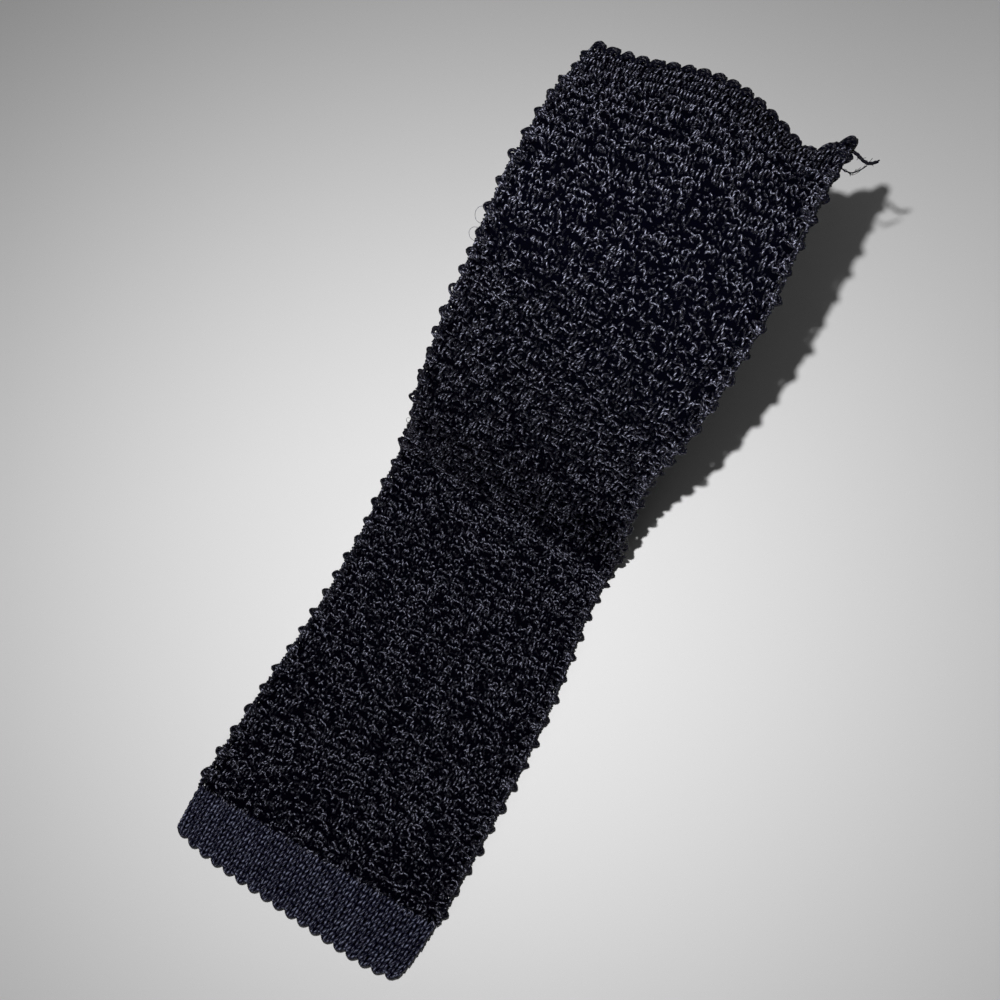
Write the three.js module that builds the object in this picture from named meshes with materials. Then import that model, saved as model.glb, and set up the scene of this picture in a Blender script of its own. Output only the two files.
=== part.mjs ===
// A knitted tie end: one thick strip of silk knit lying on a table, with its far end standing up.
// Millimetres, +Z up. The strip starts at its welt (low Y) and runs towards +Y.
// Places on the cloth are given as `along` (distance from the welt's lower edge),
// `across` (distance from the middle, + to the right) and `height` above the underside.

import * as THREE from 'three';

// Cloth
const CLOTH_LENGTH = 219;
const CLOTH_WIDTH = 61;
const CLOTH_THICKNESS = 2.5;
const EDGE_ROUNDING = 1.1;
const PIECE_GAP = 0.3;

// Welt: the plain band that the knitting starts with
const WELT_LENGTH = 11.5;
const WELT_INSET = 0.3;
const WELT_SCALLOPS = 18;
const WELT_SCALLOP_DEPTH = 1.1;
const WELT_BOW = 1.7;
const WELT_BOW_FULLNESS = 6;
const WELT_CORNER_LEFT = 0.2;
const WELT_CORNER_RIGHT = 1.8;

// Side picots: the loops that stand out from both long edges of the blade
const PICOT_PITCH = 5.0;
const PICOT_REACH = 1.5;
const PICOT_GAP = 1.4;
const PICOT_STEPS = 5;

// Cast-off edge: the chain of bumps that closes the knitting
const CAST_OFF_LENGTH = 3.0;
const CAST_OFF_THICKNESS = 2.9;
const CAST_OFF_BUMPS = 18;
const CAST_OFF_BUMP_DEPTH = 0.9;

// Loose end of the yarn at the right corner of the cast-off edge
const YARN_DIAMETER = 0.9;
const YARN_STEP = 1.8;

// How the strip lies. `at` is a share of the cloth's length. Angles are in degrees:
// climb lifts the cloth's run, drift turns it to the right, twist raises its right edge,
// skew carries its right edge ahead. `width` is a share of the cloth's width.
const LIE = [
  { at: 0.0, climb: 0, drift: -1, twist: 0, skew: -5, width: 0.97 },
  { at: 0.05, climb: 0, drift: 2, twist: 0, skew: 1, width: 0.985 },
  { at: 0.2, climb: 0, drift: 3, twist: 0, skew: -1, width: 0.975 },
  { at: 0.38, climb: 0, drift: -6, twist: 0, skew: -8, width: 0.94 },
  { at: 0.435, climb: 0, drift: 0, twist: 0, skew: -4, width: 0.975 },
  { at: 0.46, climb: 59, drift: 8, twist: 3, skew: 1, width: 0.975 },
  { at: 0.475, climb: 76, drift: 6, twist: 3, skew: 4, width: 0.975 },
  { at: 0.5, climb: 82, drift: 4, twist: 4, skew: 6, width: 0.967 },
  { at: 0.53, climb: 81, drift: 0, twist: 7, skew: 11, width: 0.955 },
  { at: 0.58, climb: 66, drift: 3, twist: 7, skew: 9, width: 0.93 },
  { at: 0.64, climb: 70, drift: 11, twist: 10, skew: 10, width: 0.917 },
  { at: 0.7, climb: 62, drift: 14, twist: 8, skew: 5, width: 0.927 },
  { at: 0.76, climb: 55, drift: 7, twist: 0, skew: -1, width: 0.915 },
  { at: 0.82, climb: 25, drift: 2, twist: -2, skew: -4, width: 0.923 },
  { at: 0.88, climb: 10, drift: -1, twist: 1, skew: -7, width: 0.912 },
  { at: 0.94, climb: -13, drift: 2, twist: 3, skew: -5, width: 0.918 },
  { at: 1.0, climb: -38, drift: 3, twist: -5, skew: 2, width: 0.915 },
];

// Waves of the free end. `at` and `reach` are shares of the cloth's length,
// `across`, `spread` and `lift` are shares of half its width.
const WAVES = [
  { at: 1.0, across: 0.0, reach: 0.09, spread: 0.5, lift: 0.15 },
  { at: 1.0, across: 0.67, reach: 0.06, spread: 0.2, lift: -0.05 },
  { at: 1.0, across: 0.88, reach: 0.035, spread: 0.14, lift: 0.17 },
];

// Route of the loose yarn from the corner of the cloth: shares of its reach to the right,
// forwards and up. The reach itself is a length.
const YARN_REACH = 5.6;
const YARN_ROUTE = [
  { right: 0.0, forward: 0.0, up: 0.0 },
  { right: 0.36, forward: 0.1, up: 0.06 },
  { right: 0.7, forward: 0.08, up: 0.03 },
  { right: 1.0, forward: 0.22, up: 0.1 },
];

const BUMP_STEPS = 4;
const YARN_SIDES = 8;
const CENTRE_LINE_STEP = 0.5;
const CENTRE_LINE_OVERRUN = 12;

// Value of one column of a table at a share of the length, straight between its rows.
function column(table, name, share) {
  const next = table.findIndex((row) => row.at >= share);
  if (next === 0) return table[0][name];
  if (next < 0) return table[table.length - 1][name];
  const low = table[next - 1];
  const high = table[next];
  const t = (share - low.at) / (high.at - low.at);
  return low[name] + (high[name] - low[name]) * t;
}

// The cloth's directions at a place along it: its run, its width and its outer face.
function directions(along) {
  const share = along / CLOTH_LENGTH;
  const climb = THREE.MathUtils.degToRad(column(LIE, 'climb', share));
  const drift = THREE.MathUtils.degToRad(column(LIE, 'drift', share));
  const twist = THREE.MathUtils.degToRad(column(LIE, 'twist', share));
  const slopeY = Math.cos(climb);
  const slopeZ = Math.sin(climb);
  const run = new THREE.Vector3(Math.sin(drift), Math.cos(drift) * slopeY, Math.cos(drift) * slopeZ);
  const level = new THREE.Vector3(Math.cos(drift), -Math.sin(drift) * slopeY, -Math.sin(drift) * slopeZ);
  const face = new THREE.Vector3().crossVectors(level, run);
  const width = level.clone().multiplyScalar(Math.cos(twist)).addScaledVector(face, Math.sin(twist));
  face.crossVectors(width, run);
  return { run, width, face };
}

// Points of the middle of the underside, one every CENTRE_LINE_STEP, found by walking along the run.
const centreLine = [];
{
  const point = new THREE.Vector3();
  const start = -CENTRE_LINE_OVERRUN;
  point.addScaledVector(directions(start).run, start);
  for (let along = start; along <= CLOTH_LENGTH + CENTRE_LINE_OVERRUN; along += CENTRE_LINE_STEP) {
    centreLine.push(point.clone());
    point.addScaledVector(directions(along + CENTRE_LINE_STEP / 2).run, CENTRE_LINE_STEP);
  }
}

function centrePoint(along) {
  const place = (along + CENTRE_LINE_OVERRUN) / CENTRE_LINE_STEP;
  const index = Math.min(Math.max(Math.floor(place), 0), centreLine.length - 2);
  return centreLine[index].clone().lerp(centreLine[index + 1], place - index);
}

function halfWidth(along) {
  return (CLOTH_WIDTH / 2) * column(LIE, 'width', along / CLOTH_LENGTH);
}

// How far the waves of the free end raise the cloth.
function waveLift(along, across) {
  const half = CLOTH_WIDTH / 2;
  let lift = 0;
  for (const wave of WAVES) {
    const a = (along / CLOTH_LENGTH - wave.at) / wave.reach;
    const b = (across / half - wave.across) / wave.spread;
    lift += wave.lift * half * Math.exp(-(a * a) - b * b);
  }
  return lift;
}

// A place on the cloth, in space.
function clothPoint(along, across, height) {
  const skew = THREE.MathUtils.degToRad(column(LIE, 'skew', along / CLOTH_LENGTH));
  const { width, face } = directions(along);
  const point = centrePoint(along + across * Math.tan(skew));
  point.addScaledVector(width, across);
  return point.addScaledVector(face, height + waveLift(along, across));
}

// A closed body through a list of rings that hold as many points each, with its two ends filled.
function loft(rings) {
  const size = rings[0].length;
  const positions = [];
  for (const ring of rings) {
    for (const point of ring) positions.push(point.x, point.y, point.z);
  }
  const faces = [];
  for (let i = 0; i + 1 < rings.length; i += 1) {
    for (let j = 0; j < size; j += 1) {
      const a = i * size + j;
      const b = i * size + ((j + 1) % size);
      faces.push(a, a + size, b, b, a + size, b + size);
    }
  }
  const last = (rings.length - 1) * size;
  for (let j = 0; j < size / 2 - 1; j += 1) {
    const k = size - 1 - j;
    faces.push(j, j + 1, k, j + 1, k - 1, k);
    faces.push(last + j, last + k, last + j + 1, last + j + 1, last + k, last + k - 1);
  }
  const geometry = new THREE.BufferGeometry();
  geometry.setAttribute('position', new THREE.Float32BufferAttribute(positions, 3));
  geometry.setIndex(faces);
  geometry.computeVertexNormals();
  return geometry;
}

// Section of a band: along its underside from left to right, then back over its face.
// `left` and `right` are its reaches from the middle, `nose` how far its rounded sides stand out,
// and `place` turns a share across (-1 to 1) into a point's distance along.
function bandRing({ shares, left, right, nose, bottom, top, place }) {
  const across = (share) => share * ((share < 0 ? left : right) - EDGE_ROUNDING);
  const under = shares.map((share) => clothPoint(place(share), across(share), bottom));
  const over = shares.map((share) => clothPoint(place(share), across(share), top));
  const middle = (bottom + top) / 2;
  const rightNose = clothPoint(place(1), right + nose, middle);
  const leftNose = clothPoint(place(-1), -left - nose, middle);
  return [leftNose, ...under, rightNose, ...over.reverse()];
}

// Shares from -1 to 1 across the cloth for `count` bumps side by side.
function bumpShares(count) {
  const shares = [];
  const last = count * BUMP_STEPS;
  for (let i = 0; i <= last; i += 1) shares.push((2 * i) / last - 1);
  return shares;
}

// Height of a row of round bumps, from 0 between them to 1 on their crests.
function bump(share, count) {
  return Math.abs(Math.sin(((share + 1) / 2) * count * Math.PI));
}

function makeWelt() {
  const shares = bumpShares(WELT_SCALLOPS);
  const rows = [
    { level: 0.0, thin: 0.5 },
    { level: 0.08, thin: 0.92 },
    { level: 0.3, thin: 1.0 },
    { level: 1.0, thin: 1.0 },
  ];
  const bow = (share) => WELT_BOW * (1 - Math.abs(share) ** WELT_BOW_FULLNESS);
  const scallop = (share) => WELT_SCALLOP_DEPTH * (1 - bump(share, WELT_SCALLOPS));
  const rings = rows.map(({ level, thin }) => {
    const half = halfWidth(level * WELT_LENGTH) - WELT_INSET;
    return bandRing({
      shares,
      left: half - WELT_CORNER_LEFT * (1 - level) ** 2,
      right: half - WELT_CORNER_RIGHT * (1 - level) ** 2,
      nose: 0,
      bottom: (CLOTH_THICKNESS * (1 - thin)) / 2,
      top: (CLOTH_THICKNESS * (1 + thin)) / 2,
      place: (share) => (scallop(share) - bow(share)) * (1 - level) + level * (WELT_LENGTH - PIECE_GAP),
    });
  });
  return loft(rings);
}

// One section of the blade, with its side edges `nose` further out than the cloth.
function bladeRing(along, nose) {
  const half = halfWidth(along);
  return bandRing({
    shares: [-1, -0.72, -0.36, 0, 0.36, 0.72, 1],
    left: half,
    right: half,
    nose,
    bottom: 0,
    top: CLOTH_THICKNESS,
    place: () => along,
  });
}

function makeBlade() {
  const start = WELT_LENGTH;
  const end = CLOTH_LENGTH - CAST_OFF_LENGTH - PIECE_GAP;
  const picots = Math.floor((end - start) / PICOT_PITCH);
  const pitch = (end - start) / picots;
  const span = pitch - PICOT_GAP;
  const rings = [bladeRing(start, 0)];
  for (let i = 0; i < picots; i += 1) {
    const middle = start + (i + 0.5) * pitch;
    for (let step = 0; step < PICOT_STEPS; step += 1) {
      const offset = step / (PICOT_STEPS - 1) - 0.5;
      rings.push(bladeRing(middle + offset * span, PICOT_REACH * Math.cos(offset * Math.PI)));
    }
  }
  rings.push(bladeRing(end, 0));
  return loft(rings);
}

function makeCastOffEdge() {
  const shares = bumpShares(CAST_OFF_BUMPS);
  const rows = [
    { level: 0.0, full: 0.86 },
    { level: 0.35, full: 1.0 },
    { level: 0.8, full: 0.9 },
    { level: 1.0, full: 0.4 },
  ];
  const start = CLOTH_LENGTH - CAST_OFF_LENGTH;
  const half = halfWidth(CLOTH_LENGTH);
  const bulge = (CAST_OFF_THICKNESS - CLOTH_THICKNESS) / 2;
  const end = (share) => CLOTH_LENGTH - CAST_OFF_BUMP_DEPTH * (1 - bump(share, CAST_OFF_BUMPS));
  const rings = rows.map(({ level, full }) => bandRing({
    shares,
    left: half,
    right: half,
    nose: 0,
    bottom: (CAST_OFF_THICKNESS * (1 - full)) / 2 - bulge,
    top: (CAST_OFF_THICKNESS * (1 + full)) / 2 - bulge,
    place: (share) => start + level * (end(share) - start),
  }));
  return loft(rings);
}

// The loose yarn leaves the side of the corner and runs out to the right.
function makeYarnTail() {
  const along = CLOTH_LENGTH - CAST_OFF_LENGTH;
  const side = halfWidth(CLOTH_LENGTH) + PIECE_GAP + YARN_DIAMETER / 2;
  const root = clothPoint(along, side, CLOTH_THICKNESS / 2);
  const { run, width, face } = directions(CLOTH_LENGTH);
  const points = YARN_ROUTE.map(({ right, forward, up }) =>
    root.clone()
      .addScaledVector(width, right * YARN_REACH)
      .addScaledVector(run, forward * YARN_REACH)
      .addScaledVector(face, up * YARN_REACH));
  const route = new THREE.CatmullRomCurve3(points);
  const section = new THREE.Shape();
  for (let i = 0; i < YARN_SIDES; i += 1) {
    const angle = (i / YARN_SIDES) * 2 * Math.PI;
    const x = (YARN_DIAMETER / 2) * Math.cos(angle);
    const y = (YARN_DIAMETER / 2) * Math.sin(angle);
    if (i === 0) section.moveTo(x, y);
    else section.lineTo(x, y);
  }
  section.closePath();
  const steps = Math.ceil(route.getLength() / YARN_STEP);
  return new THREE.ExtrudeGeometry(section, { extrudePath: route, steps, bevelEnabled: false });
}

function silk(color) {
  return new THREE.MeshStandardMaterial({ color, roughness: 0.75, metalness: 0 });
}

const tie = new THREE.Group();
const pieces = [
  { name: 'welt', geometry: makeWelt(), color: 0x15161f },
  { name: 'blade', geometry: makeBlade(), color: 0x12131a },
  { name: 'cast_off_edge', geometry: makeCastOffEdge(), color: 0x14151d },
  { name: 'yarn_tail', geometry: makeYarnTail(), color: 0x1b1c24 },
];
for (const { name, geometry, color } of pieces) {
  const mesh = new THREE.Mesh(geometry, silk(color));
  mesh.name = name;
  tie.add(mesh);
}

// The origin is under the middle of the whole strip, on the surface that it rests on.
const box = new THREE.Box3().setFromObject(tie);
tie.position.set(-(box.min.x + box.max.x) / 2, -(box.min.y + box.max.y) / 2, -box.min.z);

export default tie;
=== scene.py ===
"""End of a silk knit tie: a thick strip of crinkled tuck-stitch knitting that lies on a table.

Its welt is nearest, and its far end stands up and bends over. Every stitch is a modelled length of yarn.
Lengths inside the knitting functions are millimetres, and every mesh is made in metres.
"""

import math

import bpy
import numpy as np
from bpy.props import FloatProperty, FloatVectorProperty, IntProperty, PointerProperty
from bpy.types import Operator, Panel, PropertyGroup
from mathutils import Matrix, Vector


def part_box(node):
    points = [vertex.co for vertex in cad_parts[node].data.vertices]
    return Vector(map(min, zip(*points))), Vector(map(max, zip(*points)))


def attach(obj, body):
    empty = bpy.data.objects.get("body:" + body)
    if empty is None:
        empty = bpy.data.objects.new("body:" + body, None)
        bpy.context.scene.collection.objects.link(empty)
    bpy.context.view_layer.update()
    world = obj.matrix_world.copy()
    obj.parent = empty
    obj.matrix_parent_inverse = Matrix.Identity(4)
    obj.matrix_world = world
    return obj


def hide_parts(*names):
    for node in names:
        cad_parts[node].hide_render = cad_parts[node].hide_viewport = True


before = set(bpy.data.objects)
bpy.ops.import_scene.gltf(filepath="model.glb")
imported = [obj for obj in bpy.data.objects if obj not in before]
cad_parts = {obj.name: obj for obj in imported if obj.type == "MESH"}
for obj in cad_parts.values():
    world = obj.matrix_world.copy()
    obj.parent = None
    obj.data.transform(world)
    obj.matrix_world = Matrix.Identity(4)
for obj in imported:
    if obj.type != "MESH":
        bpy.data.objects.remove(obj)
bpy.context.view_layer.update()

bl_info = {
    "name": "Knit Tie End",
    "version": (1, 0, 0),
    "blender": (4, 5, 0),
    "location": "View3D > Sidebar > Knit Tie",
    "description": "Builds the square end of a silk knit tie, stitch by stitch",
    "category": "Object",
}

MM = 0.001
BODY = "root"

# Cloth, as in the solids
CLOTH_LENGTH = 219.0
CLOTH_WIDTH = 61.0
CLOTH_THICKNESS = 2.5
EDGE_ROUNDING = 1.1
PIECE_GAP = 0.3
WELT_LENGTH = 11.5
WELT_SCALLOPS = 18
WELT_SCALLOP_DEPTH = 1.1
WELT_BOW = 1.7
WELT_BOW_FULLNESS = 6
WELT_CORNER_LEFT = 0.2
WELT_CORNER_RIGHT = 1.8
WELT_INSET = 0.3
PICOT_PITCH = 5.0
PICOT_REACH = 1.5
CAST_OFF_LENGTH = 3.0
CAST_OFF_BUMPS = 18
YARN_TAIL_REACH = 5.6

# How the strip lies: `at` is a share of the cloth's length, angles are in degrees.
LIE_COLUMNS = ("at", "climb", "drift", "twist", "skew", "width")
LIE = (
    (0.0, 0, -1, 0, -5, 0.97),
    (0.05, 0, 2, 0, 1, 0.985),
    (0.2, 0, 3, 0, -1, 0.975),
    (0.38, 0, -6, 0, -8, 0.94),
    (0.435, 0, 0, 0, -4, 0.975),
    (0.46, 59, 8, 3, 1, 0.975),
    (0.475, 76, 6, 3, 4, 0.975),
    (0.5, 82, 4, 4, 6, 0.967),
    (0.53, 81, 0, 7, 11, 0.955),
    (0.58, 66, 3, 7, 9, 0.93),
    (0.64, 70, 11, 10, 10, 0.917),
    (0.7, 62, 14, 8, 5, 0.927),
    (0.76, 55, 7, 0, -1, 0.915),
    (0.82, 25, 2, -2, -4, 0.923),
    (0.88, 10, -1, 1, -7, 0.912),
    (0.94, -13, 2, 3, -5, 0.918),
    (1.0, -38, 3, -5, 2, 0.915),
)

# Waves of the free end, as (at, across, reach, spread, lift): at and reach are shares of the length,
# the rest shares of half the width.
WAVES = (
    (1.0, 0.0, 0.09, 0.5, 0.15),
    (1.0, 0.67, 0.06, 0.2, -0.05),
    (1.0, 0.88, 0.035, 0.14, 0.17),
)

CENTRE_LINE_STEP = 0.5
CENTRE_LINE_OVERRUN = 12.0

# Stitches. `rise` is a loop's height in courses, `sway` how far its legs lean in wales, `swing` how
# much it moves between face and back, and `lift` how near the face it lies.
STITCH_COLUMNS = ("rise", "sway", "swing", "lift")
STITCHES = {
    "knit": (1.40, 0.10, 0.75, 0.20),
    "purl": (1.20, 0.14, -0.70, 0.25),
    "float": (0.90, 0.06, 0.40, 0.40),
    "hollow": (1.20, 0.12, 0.75, 0.05),
}
WELT_STITCH = (1.45, 0.03, 0.90, 0.10)
# How far apart the blade's courses lie, as shares of their usual spacing: the bend draws them apart
SPACING_COLUMNS = ("at", "spacing")
COURSE_SPACING = ((0.0, 1.0), (0.43, 1.0), (0.48, 1.5), (0.56, 1.4), (0.66, 1.15), (1.0, 1.1))
SPACING_OVERRUN = 5.0
SPACING_STEPS = 400
# The blade's first course is looped through the welt's last one.
FIRST_COURSE_OVERLAP = 0.8
# Points along the yarn of each stitch
WELT_POINTS = 16
BLADE_POINTS = 8
# How near the face a yarn may come, where 1 is just under it
FACE_LIMIT = 1.12
# How much further along its twist each yarn starts than the one before
TWIST_STEP = 7.3
# How far loops stray from their places, in stitches, and how far towards the face
WELT_STRAY = 0.045
WELT_FACE_STRAY = 0.1
BLADE_FACE_STRAY = 0.35
# How much the blade's stitches vary in rise and in sway, and the share whose swing is turned round
RISE_VARIES = 0.25
SWAY_VARIES = 0.5
TURNED_SHARE = 0.4
# One scallop of the welt's lower edge, as (wales, courses), and how deep it lies under face and back
SCALLOP_ARC = (
    (-0.62, 1.7), (-0.68, 1.0), (-0.58, 0.4), (-0.34, 0.08), (0.0, -0.1),
    (0.34, 0.08), (0.58, 0.4), (0.68, 1.0), (0.62, 1.7),
)
SCALLOP_YARN_DEPTH = 0.85
# Fine fibres at the left edge: place along the cloth, length of the arch and how far it stands out
STRAY_FIBRES = ((170.5, 3.4, 1.5), (166.5, 3.0, 1.2), (118.0, 2.2, 0.9))
# One repeat of the tuck pattern, four wales wide and six courses high
CHART = (
    ("knit", "purl", "float", "float"),
    ("knit", "knit", "hollow", "hollow"),
    ("purl", "knit", "hollow", "hollow"),
    ("float", "float", "knit", "purl"),
    ("hollow", "hollow", "knit", "knit"),
    ("hollow", "hollow", "purl", "knit"),
)
WALES_PER_MOTIF = 4
# The loops that the tuck stitch holds, in stitches. `sweep` is the turn of a loop's arc and `lean` how
# far it strays from upright, both in radians. Their yarn is a share of the blade's.
HELD_LOOP_PITCH = 1.6
HELD_LOOP_STRAY = (0.3, 0.12)
HELD_LOOP_MARGIN = 0.8
HELD_YARN_MARGIN = 0.15
HELD_LOOP_KNOTS = 7
HELD_LOOP_YARN = 0.8
WIDE_LOOP = {"sweep": (1.8, 2.6), "radius": (0.8, 1.1), "lean": 0.25}
NARROW_LOOP = {"sweep": (2.4, 4.0), "radius": (0.34, 0.52), "lean": 0.5}
WIDE_SHARE = 0.35
ON_BACK_SHARE = 0.3
# How deep the ends of a held loop dip into the cloth
HELD_LOOP_DIP = 0.9
# The blade's courses lie in turn nearer the face and the back, most so near its top, where the last
# ones hold no loose loops and keep only a share of their unevenness, RIDGE_CALM.
RIDGED_COURSES = 7
RIDGE_RISE = 24
RIDGE_LIFT = 0.5
LOW_RIDGE_LIFT = 0.06
RIDGE_CALM = 0.8
# The yarn of the edges turns away from the light, so it is shaded as if it lay deeper.
EDGE_SHADE = 0.77
SIDE_SHADE = 0.92
# How far short of their full reach the loops of the left and of the right edge are drawn in
SIDE_LOOPS_DRAWN_IN = (0.55, 0.8)
# The yarn of the side loops and of the cast-off edge, as shares of the edge yarn
SIDE_LOOP_YARN = 0.85
CAST_OFF_YARN = 1.1
# The pitches that the knots of the side loops and of the cast-off loops are drawn for
SIDE_LOOP_DRAWN_PITCH = 5.1
CAST_OFF_DRAWN_PITCH = 3.2
# Edge yarns that wind between the side loops, as (height, turns in a pitch, start, swing)
WINDING_YARNS = ((1.9, 5, 0.0, 0.3), (1.5, 4, 2.0, 0.2), (0.7, 5, 3.0, 0.3))
WINDING_STEP = 0.3
WINDING_INSET = 0.3
WINDING_RISE = 0.22
# A sheet of painted shade inside the knitting, in courses from the start of the welt and of the blade
WELT_INSIDE_START = 1.4
WELT_INSIDE_ROWS = 10
BLADE_INSIDE_START = 0.45
BLADE_INSIDE_OVERRUN = 1.4
BLADE_INSIDE_ROWS = 172
INSIDE_POINTS_ACROSS = 17
# The loose yarn: how far from the edge it starts, its plies, and where a thinner ply leaves the edge
TAIL_GAP = 0.45
TAIL_STEPS = 40
TAIL_TURNS = 2.2
PLY_OFFSET = 0.2
LOW_PLY_FROM_END = 8.5
LOW_PLY_DIAMETER = 0.26
FRAYED_DIAMETER = 0.1
STRAY_DIAMETER = 0.13
BLADE_PIECES = 5
SEED = 7

# Stage, in metres: where each light stands, where it aims and how wide it is
KEY_FROM_CAMERA = (-0.0293, 0.0156, 0.0110)
KEY_AIM = (-0.03, 0.17, 0.0)
FILL_PLACE = (-0.1, -0.75, 0.28)
FILL_AIM = (0, 0, 0.02)
FILL_SIZE = 0.5
BACK_PLACE = (0.14, 0.25, 0.12)
BACK_AIM = (0.04, 0.12, 0)
BACK_SIZE = 0.1
SKY_COLOUR = (0.9, 0.93, 1.0)
SKY_STRENGTH = 0.006
FLOOR_REACH = 3.0


def column(table, names, name, share):
    """One column of a table at a share of the length, straight between its rows."""
    rows = np.array(table, float)
    return np.interp(share, rows[:, 0], rows[:, names.index(name)])


def unit(vectors):
    return vectors / np.linalg.norm(vectors, axis=-1, keepdims=True)


def directions(along):
    """The cloth's run, width and outer face at places along it."""
    share = np.asarray(along, float) / CLOTH_LENGTH
    climb, drift, twist = (
        np.radians(column(LIE, LIE_COLUMNS, name, share)) for name in ("climb", "drift", "twist")
    )
    slope_y, slope_z = np.cos(climb), np.sin(climb)
    run = np.stack([np.sin(drift), np.cos(drift) * slope_y, np.cos(drift) * slope_z], -1)
    level = np.stack([np.cos(drift), -np.sin(drift) * slope_y, -np.sin(drift) * slope_z], -1)
    face = np.cross(level, run)
    width = level * np.cos(twist)[..., None] + face * np.sin(twist)[..., None]
    return run, width, np.cross(width, run)


def walk_centre_line():
    """Places along the cloth, and the middle of its underside there, found by walking its run."""
    places = np.arange(-CENTRE_LINE_OVERRUN, CLOTH_LENGTH + CENTRE_LINE_OVERRUN + 1e-6, CENTRE_LINE_STEP)
    steps = directions(places + CENTRE_LINE_STEP / 2)[0] * CENTRE_LINE_STEP
    first = directions(places[:1])[0][0] * places[0]
    return places, first + np.vstack([np.zeros((1, 3)), np.cumsum(steps[:-1], axis=0)])


CENTRE_PLACES, CENTRE_LINE = walk_centre_line()


def half_width(along):
    return CLOTH_WIDTH / 2 * column(LIE, LIE_COLUMNS, "width", np.asarray(along, float) / CLOTH_LENGTH)


def wave_lift(along, across):
    """How far the waves of the free end raise the cloth."""
    half = CLOTH_WIDTH / 2
    lift = 0.0
    for at, middle, reach, spread, height in WAVES:
        a = (along / CLOTH_LENGTH - at) / reach
        b = (across / half - middle) / spread
        lift = lift + height * half * np.exp(-a * a - b * b)
    return lift


def cloth_point(along, across, height):
    """Places on the cloth in space, in millimetres, before the shift to the part's own origin."""
    along, across, height = np.broadcast_arrays(*(np.asarray(v, float) for v in (along, across, height)))
    skew = np.radians(column(LIE, LIE_COLUMNS, "skew", along / CLOTH_LENGTH))
    _, width, face = directions(along)
    carried = along + across * np.tan(skew)
    middle = np.stack([np.interp(carried, CENTRE_PLACES, CENTRE_LINE[:, i]) for i in range(3)], -1)
    raised = height + wave_lift(along, across)
    return middle + width * across[..., None] + face * raised[..., None]


def picot_rows():
    """Places along the blade of its side loops, and their pitch."""
    start, end = WELT_LENGTH, CLOTH_LENGTH - CAST_OFF_LENGTH - PIECE_GAP
    count = int((end - start) // PICOT_PITCH)
    pitch = (end - start) / count
    return start + (np.arange(count) + 0.5) * pitch, pitch


def find_origin():
    """The shift from the cloth's own start to the part's origin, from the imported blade's box."""
    middles, _ = picot_rows()
    reach = half_width(middles) + PICOT_REACH
    nose = cloth_point(middles, -reach, CLOTH_THICKNESS / 2)
    low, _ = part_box("blade")
    start = np.array([half_width(WELT_LENGTH) - EDGE_ROUNDING, half_width(WELT_LENGTH)])
    corners = np.concatenate([
        cloth_point(WELT_LENGTH, side * start, height)
        for side in (-1, 1)
        for height in (0.0, CLOTH_THICKNESS / 2)
    ])
    return np.array([low.x / MM - nose[:, 0].min(), low.y / MM - corners[:, 1].min(), 0.0])


ORIGIN = find_origin()


def in_part(points):
    """From the cloth's millimetres to the part's metres."""
    return (points + ORIGIN) * MM


def fill_mesh(name, points, faces, smooth=True, layers=()):
    """A mesh object from points and from a list of equal-sided face arrays, with named map layers."""
    mesh = bpy.data.meshes.new(name)
    points = np.asarray(points, np.float32).reshape(-1, 3)
    corners = np.concatenate([f.ravel() for f in faces]).astype(np.int32)
    sizes = np.concatenate([np.full(len(f), f.shape[1]) for f in faces]).astype(np.int32)
    starts = np.concatenate([[0], np.cumsum(sizes)[:-1]]).astype(np.int32)
    mesh.vertices.add(len(points))
    mesh.vertices.foreach_set("co", points.ravel())
    mesh.loops.add(len(corners))
    mesh.loops.foreach_set("vertex_index", corners)
    mesh.polygons.add(len(sizes))
    mesh.polygons.foreach_set("loop_start", starts)
    mesh.polygons.foreach_set("loop_total", sizes)
    mesh.polygons.foreach_set("use_smooth", np.full(len(sizes), smooth))
    for layer_name, places in layers:
        layer = mesh.uv_layers.new(name=layer_name)
        layer.data.foreach_set("uv", places.astype(np.float32).ravel())
    mesh.update(calc_edges=True)
    mesh.validate()
    piece = bpy.data.objects.new(name, mesh)
    bpy.context.scene.collection.objects.link(piece)
    return piece


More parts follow.
